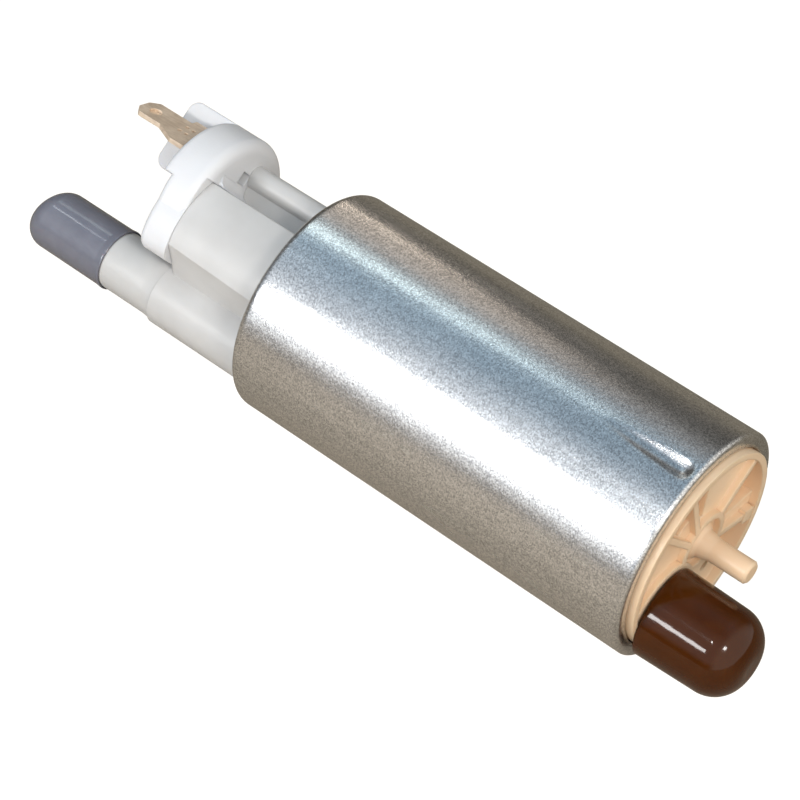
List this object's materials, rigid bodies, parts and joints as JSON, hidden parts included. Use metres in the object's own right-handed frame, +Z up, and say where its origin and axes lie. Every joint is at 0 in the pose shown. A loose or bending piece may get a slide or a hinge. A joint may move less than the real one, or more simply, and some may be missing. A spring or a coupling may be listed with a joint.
{
  "type": "electric fuel pump",
  "caption": "Cylindrical in-tank fuel pump with a steel can, white connector head, capped outlet nipple and ribbed inlet end.",
  "frame": {"origin": "on the can's axis, 37.65 mm behind the rolled inlet lip, which is the middle of the can to within 0.3 mm", "axes": "+X along the can's axis towards the inlet end, +Z up with the pump lying on its side as pictured"},
  "size_m": [0.1444, 0.039, 0.039],
  "materials": {
    "can_steel": "satin zinc-plated drawn steel",
    "housing_acetal": "warm light grey moulded acetal",
    "head_acetal": "white moulded acetal",
    "terminal_metal": "dull tinned brass",
    "cover_acetal": "beige moulded acetal",
    "cap_grey": "dipped grey vinyl",
    "cap_brown": "dipped brown vinyl",
    "pump_plate": "lapped sintered steel",
    "rotor_steel": "ground sintered steel",
    "coupling_plastic": "black filled plastic",
    "shaft_steel": "ground steel",
    "core_steel": "varnished laminations",
    "winding_copper": "enamelled copper wire",
    "commutator_copper": "turned copper",
    "magnet_ferrite": "dark ferrite",
    "bush_bronze": "sintered bronze",
    "brush_carbon": "dull carbon",
    "spring_steel": "bright spring steel",
    "choke_copper": "enamelled copper wire on a ferrite rod",
    "valve_plastic": "natural acetal",
    "seal_rubber": "black nitrile rubber"
  },
  "bodies": {
    "pump_body": {"can_shell": "can_steel", "outlet_housing": "housing_acetal", "connector_head": "head_acetal", "terminal_near": "terminal_metal", "terminal_far": "terminal_metal", "inlet_cover": "cover_acetal", "inlet_port_plate": "pump_plate", "cam_ring": "pump_plate", "delivery_plate": "pump_plate", "flux_ring": "core_steel", "magnet_near": "magnet_ferrite", "magnet_far": "magnet_ferrite", "magnet_clip": "spring_steel", "shaft_bush_delivery": "bush_bronze", "shaft_bush_outlet": "bush_bronze", "thrust_washer": "shaft_steel", "brush_spring_near": "spring_steel", "brush_spring_far": "spring_steel", "choke_near": "choke_copper", "choke_far": "choke_copper", "check_seat": "valve_plastic", "check_spring": "spring_steel", "relief_seat": "bush_bronze", "relief_spring": "spring_steel", "can_seal": "seal_rubber"},
    "armature": {"armature_shaft": "shaft_steel", "armature_core": "core_steel", "armature_windings": "winding_copper", "commutator": "commutator_copper", "drive_coupling": "coupling_plastic", "inner_rotor": "rotor_steel"},
    "outer_rotor_ring": {"outer_rotor": "rotor_steel"},
    "check_valve": {"check_poppet": "valve_plastic"},
    "relief_valve": {"relief_ball": "shaft_steel"},
    "carbon_near": {"brush_near": "brush_carbon"},
    "carbon_far": {"brush_far": "brush_carbon"},
    "outlet_shipping_cap": {"outlet_cap": "cap_grey"},
    "inlet_shipping_cap": {"inlet_cap": "cap_brown"}
  },
  "joints": [
    {"name": "armature_spin", "type": "hinge", "parent": "pump_body", "child": "armature", "pos_m": [0, 0, 0], "axis": [1, 0, 0], "continuous": true},
    {"name": "outer_rotor_spin", "type": "hinge", "parent": "pump_body", "child": "outer_rotor_ring", "pos_m": [0.02175, -0.00093, -0.00059], "axis": [1, 0, 0], "continuous": true},
    {"name": "check_valve_lift", "type": "slide", "parent": "pump_body", "child": "check_valve", "axis": [-1, 0, 0], "range_m": [0, 0.002], "stiffness_N_per_m": 60, "springref_m": -0.004, "deforming": ["check_spring"]},
    {"name": "relief_valve_lift", "type": "slide", "parent": "pump_body", "child": "relief_valve", "axis": [1, 0, 0], "range_m": [0, 0.0008], "stiffness_N_per_m": 300, "springref_m": -0.003, "deforming": ["relief_spring"]},
    {"name": "brush_near_slide", "type": "slide", "parent": "pump_body", "child": "carbon_near", "axis": [-1, 0, 0], "range_m": [0, 0.003], "stiffness_N_per_m": 80, "springref_m": -0.01, "deforming": ["brush_spring_near"]},
    {"name": "brush_far_slide", "type": "slide", "parent": "pump_body", "child": "carbon_far", "axis": [-1, 0, 0], "range_m": [0, 0.003], "stiffness_N_per_m": 80, "springref_m": -0.01, "deforming": ["brush_spring_far"]},
    {"name": "outlet_cap_pull", "type": "slide", "parent": "pump_body", "child": "outlet_shipping_cap", "axis": [-1, 0, 0], "range_m": [0, 0.025]},
    {"name": "inlet_cap_pull", "type": "slide", "parent": "pump_body", "child": "inlet_shipping_cap", "axis": [1, 0, 0], "range_m": [0, 0.025]}
  ],
  "couplings": [
    {"joint": "outer_rotor_spin", "follows": "armature_spin", "ratio": 0.85714}
  ]
}
